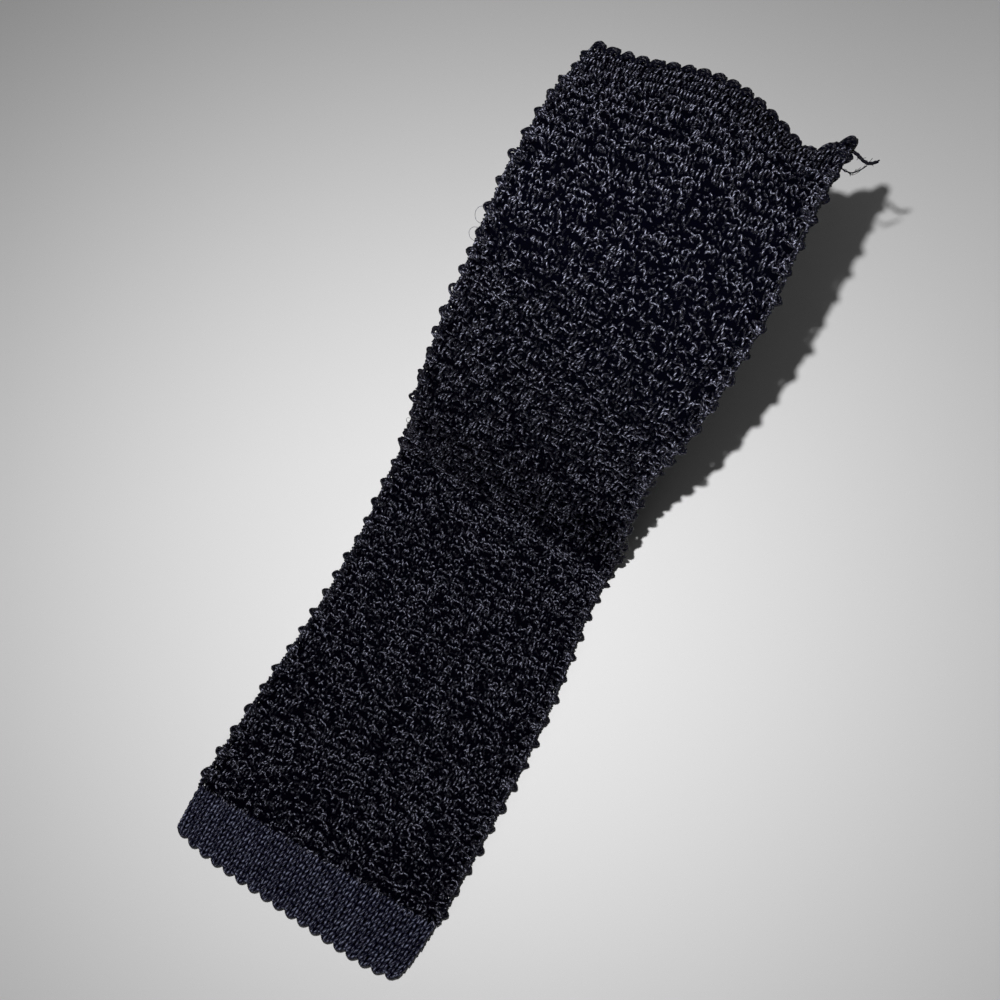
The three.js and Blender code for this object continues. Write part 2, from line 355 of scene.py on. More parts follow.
class Yarns:
    """Lengths of yarn that end up as one joined mesh."""

    def __init__(self, sides):
        self.sides = sides
        self.points, self.quads, self.caps = [], [], []
        self.layers = {"yarn": ([], []), "lie": ([], [])}
        self.count = 0

    def add(self, path, facing, diameter, height):
        """Tubes along paths of shape (yarns, points, 3) in millimetres.

        facing is the cloth's face there, and height the yarn's place between its back and its face, which
        places its painted highlight and shade.
        """
        path = np.asarray(path, float)
        yarns, steps, _ = path.shape
        diameter = np.broadcast_to(np.asarray(diameter, float), (yarns, steps))
        run = unit(np.gradient(path, axis=1))
        side = unit(np.cross(run, np.broadcast_to(facing, path.shape)))
        up = np.cross(side, run)
        turn = 2 * np.pi * np.arange(self.sides) / self.sides
        ring = side[:, :, None] * np.cos(turn)[:, None] + up[:, :, None] * np.sin(turn)[:, None]
        points = path[:, :, None] + ring * (diameter / 2)[:, :, None, None]
        self.points.append(in_part(points).reshape(-1, 3))
        index = self.count + np.arange(yarns * steps * self.sides).reshape(yarns, steps, self.sides)
        self.count += index.size
        following = np.roll(index, -1, axis=2)
        quads = np.stack([index[:, :-1], index[:, 1:], following[:, 1:], following[:, :-1]], -1)
        self.quads.append(quads.reshape(-1, 4))
        ends = np.concatenate([index[:, 0], index[:, -1, ::-1]])
        self.caps.append(ends)
        # Length along each yarn, its depth in the cloth, and share of the way round it; the last two place
        # the painted highlight and shade
        step = np.linalg.norm(np.diff(path, axis=1), axis=2)
        length = np.concatenate([np.zeros((yarns, 1)), np.cumsum(step, axis=1)], axis=1)
        length += TWIST_STEP * np.arange(yarns)[:, None]
        depth = np.broadcast_to(np.asarray(height, float) / CLOTH_THICKNESS, (yarns, steps))
        share = np.arange(self.sides) / self.sides
        near, far = share, share + 1 / self.sides
        shape = (yarns, steps - 1, self.sides)
        for name, value in (("yarn", length), ("lie", depth)):
            low, high = value[:, :-1, None], value[:, 1:, None]
            corners = [(low, near), (high, near), (high, far), (low, far)]
            pairs = [np.stack([np.broadcast_to(a, shape), np.broadcast_to(b, shape)], -1) for a, b in corners]
            self.layers[name][0].append(np.stack(pairs, -2).reshape(-1, 2))
            self.layers[name][1].append(np.full((ends.size, 2), 0.5))

    def piece(self, name):
        faces = [np.concatenate(self.quads), np.concatenate(self.caps)]
        layers = [(layer, np.concatenate(sides + caps)) for layer, (sides, caps) in self.layers.items()]
        return fill_mesh(name, np.concatenate(self.points), faces, layers=layers)


def smooth_route(knots, steps):
    """A smooth route of `steps` points through the rows of knots, shape (..., knots, 3)."""
    knots = np.asarray(knots, float)
    padded = np.concatenate([2 * knots[..., :1, :] - knots[..., 1:2, :], knots,
                             2 * knots[..., -1:, :] - knots[..., -2:-1, :]], axis=-2)
    spots = np.linspace(0, knots.shape[-2] - 1, steps)
    index = np.minimum(spots.astype(int), knots.shape[-2] - 2)
    t = (spots - index)[:, None]
    a, b, c, d = (padded[..., index + k, :] for k in range(4))
    return 0.5 * (2 * b + (c - a) * t + (2 * a - 5 * b + 4 * c - d) * t**2 + (3 * b - a - 3 * c + d) * t**3)


def lay_loops(yarns, shape, places, layout, diameter, steps):
    """Copies of one small loop on the cloth.

    shape holds the loop's knots as (wales, courses, height), places the (wale, course) of each
    copy, and layout turns wales and courses into along and across.
    """
    shape = np.asarray(shape, float)
    if shape.ndim == 2:
        shape = np.broadcast_to(shape, (len(places), *shape.shape))
    route = smooth_route(shape, steps)
    wale = route[..., 0] + places[:, None, 0]
    course = route[..., 1] + places[:, None, 1]
    along, across = layout(wale, course)
    yarns.add(cloth_point(along, across, route[..., 2]), directions(along)[2], diameter, route[..., 2])


def knit_courses(yarns, courses, wales, stitch, layout, yarn, points_per_stitch, jitter):
    """Yarns that run from edge to edge, one a course, each looped once in every wale.

    stitch gives arrays of (courses, wales) for each of STITCH_COLUMNS. jitter gives the small
    shifts of the yarn across, along and towards the face, any number of times in each wale.
    """
    steps = wales * points_per_stitch + 1
    x = np.linspace(0, wales, steps)

    def spread(values):
        centres = (np.arange(values.shape[1]) + 0.5) * wales / values.shape[1]
        return np.stack([np.interp(x, centres, row) for row in values])

    rise, sway, swing, lift = (spread(stitch[name]) for name in STITCH_COLUMNS)
    shift_wale, shift_course, shift_face = (spread(j) for j in jitter)
    turn = 2 * np.pi * x
    wale = x + sway * np.sin(2 * turn) + shift_wale
    wale = np.clip(wale, 0, wales)
    course = courses[:, None] + 0.5 - rise / 2 * np.cos(turn) + shift_course
    middle = CLOTH_THICKNESS / 2
    room = middle - yarn / 2
    height = middle + room * np.clip(lift - swing * np.cos(2 * turn) + shift_face, -1, FACE_LIMIT)
    along, across = layout(wale, course)
    facing = directions(along)[2]
    yarns.add(cloth_point(along, across, height), facing, yarn, height)


def blade_layout(settings):
    """From wales and courses of the blade to places along and across."""
    start, end = WELT_LENGTH - FIRST_COURSE_OVERLAP, CLOTH_LENGTH - CAST_OFF_LENGTH - PIECE_GAP
    margin = settings.yarn_diameter / MM / 2
    places = np.linspace(start - SPACING_OVERRUN, end + SPACING_OVERRUN, SPACING_STEPS)
    density = 1 / column(COURSE_SPACING, SPACING_COLUMNS, "spacing", places / CLOTH_LENGTH)
    counted = np.concatenate([[0], np.cumsum((density[1:] + density[:-1]) / 2)])
    first, last = np.interp((start, end), places, counted)
    counted = (counted - first) * settings.blade_courses / (last - first)

    def layout(wale, course):
        along = np.interp(course, counted, places)
        share = 2 * wale / settings.blade_wales - 1
        tucked_in = np.where(along < WELT_LENGTH + WELT_INSET, 2 * WELT_INSET, 0.0)
        return along, share * (half_width(along) - margin - tucked_in)

    return layout


def welt_layout(settings):
    """From wales and courses of the welt, whose corners are rounded and whose lower edge bows."""
    margin = settings.welt_yarn / MM / 2

    def layout(wale, course):
        level = np.clip(course / settings.welt_courses, 0, 1)
        share = 2 * wale / settings.welt_wales - 1
        corner = np.where(share < 0, WELT_CORNER_LEFT, WELT_CORNER_RIGHT)
        bow = WELT_BOW * (1 - np.minimum(np.abs(share), 1) ** WELT_BOW_FULLNESS)
        notch = WELT_SCALLOP_DEPTH * (1 - np.abs(np.sin((share + 1) / 2 * WELT_SCALLOPS * np.pi)))
        inside = np.maximum(course / settings.welt_courses * (WELT_LENGTH - PIECE_GAP), notch + margin)
        along = inside - bow * (1 - level)
        reach = half_width(along) - WELT_INSET - corner * (1 - level) ** 2
        return along, share * (reach - margin)

    return layout


def shade_sheet(name, layout, wales, courses, settings):
    """A thin closed sheet of painted shade between the knitting's face and its back.

    It spans the given wales from edge to edge, less the inset, and lies on the given courses.
    """
    inset = settings.shade_sheet_inset / MM / (CLOTH_WIDTH / 2)
    shares = np.linspace(inset - 1, 1 - inset, INSIDE_POINTS_ACROSS)
    course = np.asarray(courses, float)[:, None]
    rows = len(course)
    along, across = layout((shares + 1) / 2 * wales, course)
    low = CLOTH_THICKNESS / 2 - settings.shade_sheet_thickness / MM / 2
    high = CLOTH_THICKNESS / 2 + settings.shade_sheet_thickness / MM / 2
    under = cloth_point(along, across, low)
    over = cloth_point(along, across, high)[:, ::-1]
    rings = np.concatenate([under, over], axis=1)
    size = rings.shape[1]
    index = np.arange(rows * size).reshape(rows, size)
    following = np.roll(index, -1, axis=1)
    quads = np.stack([index[:-1], index[1:], following[1:], following[:-1]], -1).reshape(-1, 4)
    caps = np.stack([index[0], index[-1, ::-1]])
    return fill_mesh(name, in_part(rings), [quads, caps])


# Materials

# Depths, as shares of the thickness, at which a yarn counts as lying at the back or at the face; only yarn
# there gets the painted highlight, and yarn between them is painted in shade
BACK_DEPTH = 0.17
FACE_DEPTH = 0.83
# Where the painted highlight starts on a yarn's outward side
PAINTED_HIGHLIGHT_START = 0.54
FIBRE_SCALE = 5200.0
MOTTLE_SCALE = 1800.0
NOISE_DETAIL = 2.0
# Painted shade in the groove between plies: where it ends on a ply, and the share of the painted highlight
# left in it
PLY_SHADE_END = 0.4
PLY_SHADE_SHARE = 0.05
# The values of the mottle between which its dull patches pass into the full painted highlight
PATCH_START = 0.43
PATCH_END = 0.58
# How far the mottle moves the roughness up and down
ROUGHER = 0.1
SMOOTHER = 0.08
PLY_BUMP = 0.00018
# The sheet of painted shade inside the knitting
TANGLE_SCALE = 900.0
TANGLE_DETAIL = 4.0
SHADE_SHEET_DARK = (0.0006, 0.0007, 0.0015)
TANGLE_BUMP = 0.0003


def node(tree, kind, place, **values):
    made = tree.nodes.new(kind)
    made.location = place
    for name, value in values.items():
        setattr(made, name, value)
    return made


def silk_plies_group():
    """Node group: the twisted plies and fine fibres of a silk yarn, as values that change along it, and the
    mask of a painted highlight on the yarn's outward side.
    """
    name = "silk_plies"
    if name in bpy.data.node_groups:
        return bpy.data.node_groups[name]
    tree = bpy.data.node_groups.new(name, "ShaderNodeTree")
    for socket, default in (("Plies", 3.0), ("Lay", 0.8), ("Fibre", 0.35)):
        made = tree.interface.new_socket(socket, in_out="INPUT", socket_type="NodeSocketFloat")
        made.default_value = default
    for socket in ("Ply", "Height", "Mottle", "Painted highlight"):
        tree.interface.new_socket(socket, in_out="OUTPUT", socket_type="NodeSocketFloat")
    inputs = node(tree, "NodeGroupInput", (-900, 0))
    outputs = node(tree, "NodeGroupOutput", (900, 0))
    yarn = node(tree, "ShaderNodeUVMap", (-900, 300), uv_map="yarn")
    split = node(tree, "ShaderNodeSeparateXYZ", (-700, 300))
    tree.links.new(yarn.outputs["UV"], split.inputs[0])
    lie = node(tree, "ShaderNodeUVMap", (-900, 600), uv_map="lie")
    split_lie = node(tree, "ShaderNodeSeparateXYZ", (-700, 600))
    tree.links.new(lie.outputs["UV"], split_lie.inputs[0])

    def maths(kind, a, b, place):
        made = node(tree, "ShaderNodeMath", place, operation=kind)
        for slot, value in ((0, a), (1, b)):
            if isinstance(value, float):
                made.inputs[slot].default_value = value
            elif value is not None:
                tree.links.new(value, made.inputs[slot])
        return made.outputs[0]

    around = maths("MULTIPLY", split.outputs["Y"], inputs.outputs["Plies"], (-500, 350))
    along = maths("DIVIDE", split.outputs["X"], inputs.outputs["Lay"], (-500, 200))
    phase = maths("ADD", around, along, (-300, 300))
    turned = maths("MULTIPLY", phase, math.pi, (-150, 300))
    wave = maths("SINE", turned, None, (0, 300))
    round_ply = maths("ABSOLUTE", wave, None, (150, 300))
    # Painted highlight on the outward side of the yarns that lie near the face or the back, the side that
    # catches light; yarn deeper in the cloth gets none and is painted in shade
    circle = maths("MULTIPLY", split_lie.outputs["Y"], 2 * math.pi, (-500, 600))
    outward = maths("SINE", circle, None, (-350, 600))
    towards = node(tree, "ShaderNodeMapRange", (-350, 500))
    towards.inputs["From Min"].default_value = BACK_DEPTH
    towards.inputs["From Max"].default_value = FACE_DEPTH
    towards.inputs["To Min"].default_value = -1.0
    tree.links.new(split_lie.outputs["X"], towards.inputs["Value"])
    open_side = maths("MULTIPLY", outward, towards.outputs["Result"], (-150, 550))
    painted_highlight = node(tree, "ShaderNodeMapRange", (50, 550), interpolation_type="SMOOTHSTEP")
    painted_highlight.inputs["From Min"].default_value = PAINTED_HIGHLIGHT_START
    tree.links.new(open_side, painted_highlight.inputs["Value"])
    tree.links.new(painted_highlight.outputs["Result"], outputs.inputs["Painted highlight"])
    position = node(tree, "ShaderNodeTexCoord", (-900, -200))
    fibre = node(tree, "ShaderNodeTexNoise", (-400, -100))
    fibre.inputs["Scale"].default_value = FIBRE_SCALE
    fibre.inputs["Detail"].default_value = NOISE_DETAIL
    mottle = node(tree, "ShaderNodeTexNoise", (-400, -350))
    mottle.inputs["Scale"].default_value = MOTTLE_SCALE
    mottle.inputs["Detail"].default_value = NOISE_DETAIL
    tree.links.new(position.outputs["Object"], fibre.inputs["Vector"])
    tree.links.new(position.outputs["Object"], mottle.inputs["Vector"])
    fuzz = maths("MULTIPLY", fibre.outputs["Fac"], inputs.outputs["Fibre"], (150, 0))
    height = maths("ADD", round_ply, fuzz, (350, 200))
    tree.links.new(round_ply, outputs.inputs["Ply"])
    tree.links.new(height, outputs.inputs["Height"])
    tree.links.new(mottle.outputs["Fac"], outputs.inputs["Mottle"])
    return tree


def silk_material(name, dark, light, colours, lay=0.8, patch_highlight_share=0.02):
    """Silk yarn: its near-black colour, which also paints shade between plies, on flanks and deep in the
    cloth, and a lighter painted highlight.

    lay is the length of a ply's turn; the last argument is the share of the painted highlight left in the
    mottle's dull patches.
    """
    material = bpy.data.materials.new(name)
    material.use_nodes = True
    tree = material.node_tree
    shader = tree.nodes["Principled BSDF"]
    plies = node(tree, "ShaderNodeGroup", (-900, 0))
    plies.node_tree = silk_plies_group()
    plies.inputs["Plies"].default_value = colours.plies
    plies.inputs["Lay"].default_value = lay
    # The blend paints light and shade into the colour: the dark colour stands as painted shade, the light one
    # as a painted highlight, weighed by plies, mottle and outward side
    blend = node(tree, "ShaderNodeMix", (-500, 200), data_type="RGBA")
    blend.inputs["A"].default_value = (*dark, 1)
    blend.inputs["B"].default_value = (*light, 1)
    weigh = node(tree, "ShaderNodeMath", (-700, 200), operation="MULTIPLY")
    ply = node(tree, "ShaderNodeMapRange", (-900, 350))
    ply.inputs["From Min"].default_value = PLY_SHADE_END
    ply.inputs["To Min"].default_value = PLY_SHADE_SHARE
    patch = node(tree, "ShaderNodeMapRange", (-900, 600))
    patch.inputs["From Min"].default_value = PATCH_START
    patch.inputs["From Max"].default_value = PATCH_END
    patch.inputs["To Min"].default_value = patch_highlight_share
    lit = node(tree, "ShaderNodeMath", (-600, 400), operation="MULTIPLY")
    tree.links.new(plies.outputs["Ply"], ply.inputs["Value"])
    tree.links.new(plies.outputs["Mottle"], patch.inputs["Value"])
    tree.links.new(ply.outputs["Result"], weigh.inputs[0])
    tree.links.new(patch.outputs["Result"], weigh.inputs[1])
    tree.links.new(weigh.outputs[0], lit.inputs[0])
    tree.links.new(plies.outputs["Painted highlight"], lit.inputs[1])
    tree.links.new(lit.outputs[0], blend.inputs["Factor"])
    tree.links.new(blend.outputs["Result"], shader.inputs["Base Color"])
    rough = node(tree, "ShaderNodeMapRange", (-500, -100))
    rough.inputs["To Min"].default_value = colours.roughness + ROUGHER
    rough.inputs["To Max"].default_value = colours.roughness - SMOOTHER
    tree.links.new(plies.outputs["Mottle"], rough.inputs["Value"])
    tree.links.new(rough.outputs["Result"], shader.inputs["Roughness"])
    bump = node(tree, "ShaderNodeBump", (-300, -300))
    bump.inputs["Strength"].default_value = colours.ply_depth
    bump.inputs["Distance"].default_value = PLY_BUMP
    tree.links.new(plies.outputs["Height"], bump.inputs["Height"])
    tree.links.new(bump.outputs["Normal"], shader.inputs["Normal"])
    shader.inputs["Specular IOR Level"].default_value = colours.gloss
    return material


def shade_sheet_material(colours):
    """Painted shade for the unlit inside of the knitting: near-black, with a noise of tangled yarn."""
    material = bpy.data.materials.new("knit_inside_shade")
    material.use_nodes = True
    tree = material.node_tree
    shader = tree.nodes["Principled BSDF"]
    place = node(tree, "ShaderNodeTexCoord", (-900, 0))
    tangle = node(tree, "ShaderNodeTexNoise", (-700, 0))
    tangle.inputs["Scale"].default_value = TANGLE_SCALE
    tangle.inputs["Detail"].default_value = TANGLE_DETAIL
    ramp = node(tree, "ShaderNodeValToRGB", (-500, 0))
    ramp.color_ramp.elements[0].color = (*SHADE_SHEET_DARK, 1)
    ramp.color_ramp.elements[1].color = (*(0.5 * c for c in colours.dark_yarn_and_shade), 1)
    bump = node(tree, "ShaderNodeBump", (-300, -250))
    bump.inputs["Strength"].default_value = 0.8
    bump.inputs["Distance"].default_value = TANGLE_BUMP
    tree.links.new(place.outputs["Object"], tangle.inputs["Vector"])
    tree.links.new(tangle.outputs["Fac"], ramp.inputs["Fac"])
    tree.links.new(ramp.outputs["Color"], shader.inputs["Base Color"])
    tree.links.new(tangle.outputs["Fac"], bump.inputs["Height"])
    tree.links.new(bump.outputs["Normal"], shader.inputs["Normal"])
    shader.inputs["Roughness"].default_value = 0.9
    shader.inputs["Specular IOR Level"].default_value = 0.0
    return material


# Settings that a user would change


class KnitSizes(PropertyGroup):
    yarn_diameter: FloatProperty(
        name="Blade yarn", description="Diameter of the blade's yarn", default=0.0005, min=0.0003, max=0.0015,
        precision=5, unit="LENGTH")
    welt_yarn: FloatProperty(
        name="Welt yarn", description="Diameter of the welt's yarn", default=0.00074, min=0.0003, max=0.0015,
        precision=5, unit="LENGTH")
    edge_yarn: FloatProperty(
        name="Edge yarn", description="Diameter of the doubled yarn of the edges", default=0.00084,
        min=0.0003, max=0.0015, precision=5, unit="LENGTH")
    welt_wales: IntProperty(
        name="Welt wales", description="Stitches across the welt", default=36, min=12, max=60)
    blade_wales: IntProperty(
        name="Blade wales", description="Stitches across the blade", default=40, min=12, max=60)
    blade_courses: IntProperty(
        name="Blade courses", description="Rows of stitches in the blade", default=156, min=30, max=180)
    welt_courses: IntProperty(
        name="Welt courses", description="Rows of stitches in the welt", default=10, min=3, max=20)
    unevenness: FloatProperty(
        name="Unevenness", description="How far loops stray from their places, in stitches", default=0.14,
        min=0.0, max=0.4, subtype="FACTOR")
    # The sheet of painted shade inside the knitting: its thickness, and how far it stays from the side edges
    shade_sheet_thickness: FloatProperty(
        name="Inside", description="Thickness of the dark inside of the knitting", default=0.0008, min=0.0002,
        max=0.002, precision=5, unit="LENGTH")
    shade_sheet_inset: FloatProperty(
        name="Inset", description="How far the inside stays from the side edges", default=0.0012, min=0.0,
        max=0.01, precision=5, unit="LENGTH")


class SilkLook(PropertyGroup):
    # The yarn's near-black colour, which also stands as painted shade on its flanks, between its plies and
    # deep in the cloth
    dark_yarn_and_shade: FloatVectorProperty(
        name="Dark yarn and shade", description="Colour between the plies of the yarn", default=(0.0009, 0.0010, 0.0042),
        size=3, min=0.0, max=1.0, subtype="COLOR")
    # The same near-black colour and painted shade, for the welt's yarn
    welt_dark_yarn_and_shade: FloatVectorProperty(
        name="Welt groove", description="Colour between the plies of the welt's yarn",
        default=(0.0015, 0.0019, 0.0085), size=3, min=0.0, max=1.0, subtype="COLOR")
    # Painted highlight on the outward side of the blade's yarn
    painted_highlight: FloatVectorProperty(
        name="Painted highlight", description="Colour on the plies of the blade's yarn", default=(0.272, 0.277, 0.362),
        size=3, min=0.0, max=1.0, subtype="COLOR")
    # Painted highlight on the outward side of the welt's yarn
    welt_painted_highlight: FloatVectorProperty(
        name="Welt crest", description="Colour on the plies of the welt's yarn",
        default=(0.146, 0.155, 0.226), size=3, min=0.0, max=1.0, subtype="COLOR")
    fibre: FloatVectorProperty(
        name="Fibre", description="Colour of fine fibres against the light", default=(0.22, 0.22, 0.24),
        size=3, min=0.0, max=1.0, subtype="COLOR")
    plies: FloatProperty(
        name="Plies", description="Plies twisted into the yarn", default=3.0, min=1.0, max=8.0)
    ply_depth: FloatProperty(
        name="Ply depth", description="How strongly the plies stand out", default=0.9, min=0.0, max=1.0,
        subtype="FACTOR")
    roughness: FloatProperty(
        name="Roughness", description="Roughness of the silk's gloss", default=0.42, min=0.1, max=1.0,
        subtype="FACTOR")
    gloss: FloatProperty(
        name="Gloss", description="Strength of the silk's gloss", default=0.15, min=0.0, max=1.0,
        subtype="FACTOR")


class StudioSetup(PropertyGroup):
    floor_colour: FloatVectorProperty(
        name="Floor", description="Colour of the floor", default=(0.62, 0.615, 0.62), size=3, min=0.0,
        max=1.0, subtype="COLOR")
    key_power: FloatProperty(
        name="Key light", description="Power of the light beside the camera, in watts", default=0.86, min=0.0,
        max=20.0)
    key_size: FloatProperty(
        name="Key size", description="Width of the light beside the camera", default=0.005, min=0.001,
        max=0.5, precision=4, unit="LENGTH")
    fill_power: FloatProperty(
        name="Fill light", description="Power of the large soft light beyond the welt, in watts",
        default=1.0, min=0.0, max=50.0)
    back_power: FloatProperty(
        name="Back light", description="Power of the weak soft light behind the raised end, in watts",
        default=0.034, min=0.0, max=5.0)
    camera_place: FloatVectorProperty(
        name="Camera", description="Where the camera stands", default=(0.03245, -0.06515, 0.225), size=3,
        precision=5, unit="LENGTH", subtype="XYZ")
    camera_tilt: FloatProperty(
        name="Tilt", description="How far the camera leans back from looking straight down",
        default=math.radians(22.0), unit="ROTATION")
    camera_turn: FloatProperty(
        name="Turn", description="How far the camera is turned about the vertical",
        default=math.radians(27.24), unit="ROTATION")


def settings_of(context):
    scene = context.scene
    return scene.knit_tie_sizes, scene.knit_tie_look, scene.knit_tie_studio


def finish_piece(piece, material, slot, *nodes):
    """Gives a piece its material, attaches it to the body and hides the solids that it stands for."""
    piece.data.materials.append(material)
    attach(piece, BODY)
    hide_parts(*nodes)


def shared_material(name, make):
    return bpy.data.materials.get(name) or make()


def blade_silk(look):
    return shared_material("blade_silk", lambda: silk_material("blade_silk", look.dark_yarn_and_shade, look.painted_highlight, look))


def uneven(rng, shape, reach, face):
    """Small shifts of the yarn: across and along by about `reach`, towards the face by about `face`."""
    return [rng.normal(0, reach, shape), rng.normal(0, reach, shape), rng.normal(0, face, shape)]


class KNITTIE_OT_stage(Operator):
    """Make the camera, the floor and the lights"""

    bl_idname = "object.knit_tie_stage"
    bl_label = "Stage"

    def execute(self, context):
        _, _, studio = settings_of(context)
        scene = context.scene
        scene.view_settings.view_transform = "Standard"
        lens = bpy.data.cameras.new("camera")
        lens.sensor_width = lens.lens = 36.0
        lens.clip_start, lens.clip_end = 0.01, 10.0
        camera = bpy.data.objects.new("camera", lens)
        camera.location = studio.camera_place
        camera.rotation_euler = (studio.camera_tilt, 0.0, studio.camera_turn)
        scene.collection.objects.link(camera)
        scene.camera = camera

        corners = [(x * FLOOR_REACH, y * FLOOR_REACH, 0) for x, y in ((-1, -1), (1, -1), (1, 1), (-1, 1))]
        floor = fill_mesh("floor", corners, [np.array([[0, 1, 2, 3]])], smooth=False)
        paper = bpy.data.materials.new("floor_paper")
        paper.use_nodes = True
        shader = paper.node_tree.nodes["Principled BSDF"]
        shader.inputs["Base Color"].default_value = (*studio.floor_colour, 1)
        shader.inputs["Roughness"].default_value = 0.6
        shader.inputs["Specular IOR Level"].default_value = 0.25
        floor.data.materials.append(paper)

        def area_light(name, place, target, width, power):
            lamp = bpy.data.lights.new(name, "AREA")
            lamp.shape, lamp.size, lamp.energy = "DISK", width, power
            light = bpy.data.objects.new(name, lamp)
            light.location = place
            light.rotation_mode = "QUATERNION"
            light.rotation_quaternion = (Vector(target) - Vector(place)).to_track_quat("-Z", "Y")
            scene.collection.objects.link(light)

        key = Vector(studio.camera_place) + Vector(KEY_FROM_CAMERA)
        area_light("key", key, KEY_AIM, studio.key_size, studio.key_power)
        area_light("fill", FILL_PLACE, FILL_AIM, FILL_SIZE, studio.fill_power)
        area_light("back", BACK_PLACE, BACK_AIM, BACK_SIZE, studio.back_power)
        world = bpy.data.worlds.new("studio")
        world.use_nodes = True
        sky = world.node_tree.nodes["Background"]
        sky.inputs["Color"].default_value = (*SKY_COLOUR, 1)
        sky.inputs["Strength"].default_value = SKY_STRENGTH
        scene.world = world
        return {"FINISHED"}


class KNITTIE_OT_shade_sheet(Operator):
    """Make the sheets of painted shade inside the welt and the blade"""

    bl_idname = "object.knit_tie_ground"
    bl_label = "Inside"

    def execute(self, context):
        sizes, look, _ = settings_of(context)
        material = shared_material("knit_inside_shade", lambda: shade_sheet_material(look))
        # The welt's inside starts above its scallops, and the blade's ends inside the cast-off edge.
        courses = np.linspace(WELT_INSIDE_START, sizes.welt_courses, WELT_INSIDE_ROWS)
        welt = shade_sheet("welt_inside", welt_layout(sizes), sizes.welt_wales, courses, sizes)
        finish_piece(welt, material, "welt_knit", "welt")
        end = sizes.blade_courses + BLADE_INSIDE_OVERRUN
        courses = np.linspace(BLADE_INSIDE_START, end, BLADE_INSIDE_ROWS)
        blade = shade_sheet("blade_inside", blade_layout(sizes), sizes.blade_wales, courses, sizes)
        finish_piece(blade, material, "blade_knit", "blade")
        return {"FINISHED"}


class KNITTIE_OT_welt(Operator):
    """Knit the welt, with the scallops of its lower edge"""

    bl_idname = "object.knit_tie_welt"
    bl_label = "Welt"

    def execute(self, context):
        sizes, look, _ = settings_of(context)
        rng = np.random.default_rng(SEED)
        material = shared_material(
            "welt_silk",
            lambda: silk_material("welt_silk", look.welt_dark_yarn_and_shade, look.welt_painted_highlight, look, lay=1.2, patch_highlight_share=0.2))
        yarns = Yarns(6)
        layout = welt_layout(sizes)
        shape = (sizes.welt_courses, sizes.welt_wales)
        stitch = {name: np.full(shape, value) for name, value in zip(STITCH_COLUMNS, WELT_STITCH)}
        halves = (sizes.welt_courses, 2 * sizes.welt_wales)
        jitter = uneven(rng, halves, WELT_STRAY, WELT_FACE_STRAY)
        knit_courses(yarns, np.arange(sizes.welt_courses, dtype=float), sizes.welt_wales, stitch, layout,
                     sizes.welt_yarn / MM, WELT_POINTS, jitter)
        per_scallop = sizes.welt_wales / WELT_SCALLOPS
        middles = (np.arange(WELT_SCALLOPS) + 0.5) * per_scallop
        places = np.stack([middles, np.zeros(WELT_SCALLOPS)], -1)
        for height in (CLOTH_THICKNESS - SCALLOP_YARN_DEPTH, SCALLOP_YARN_DEPTH):
            arc = [(wale, course, height) for wale, course in SCALLOP_ARC]
            lay_loops(yarns, arc, places, layout, sizes.edge_yarn / MM, 2 * len(arc) - 1)
        piece = yarns.piece("welt_stitches")
        finish_piece(piece, material, "welt_knit", "welt")
        return {"FINISHED"}


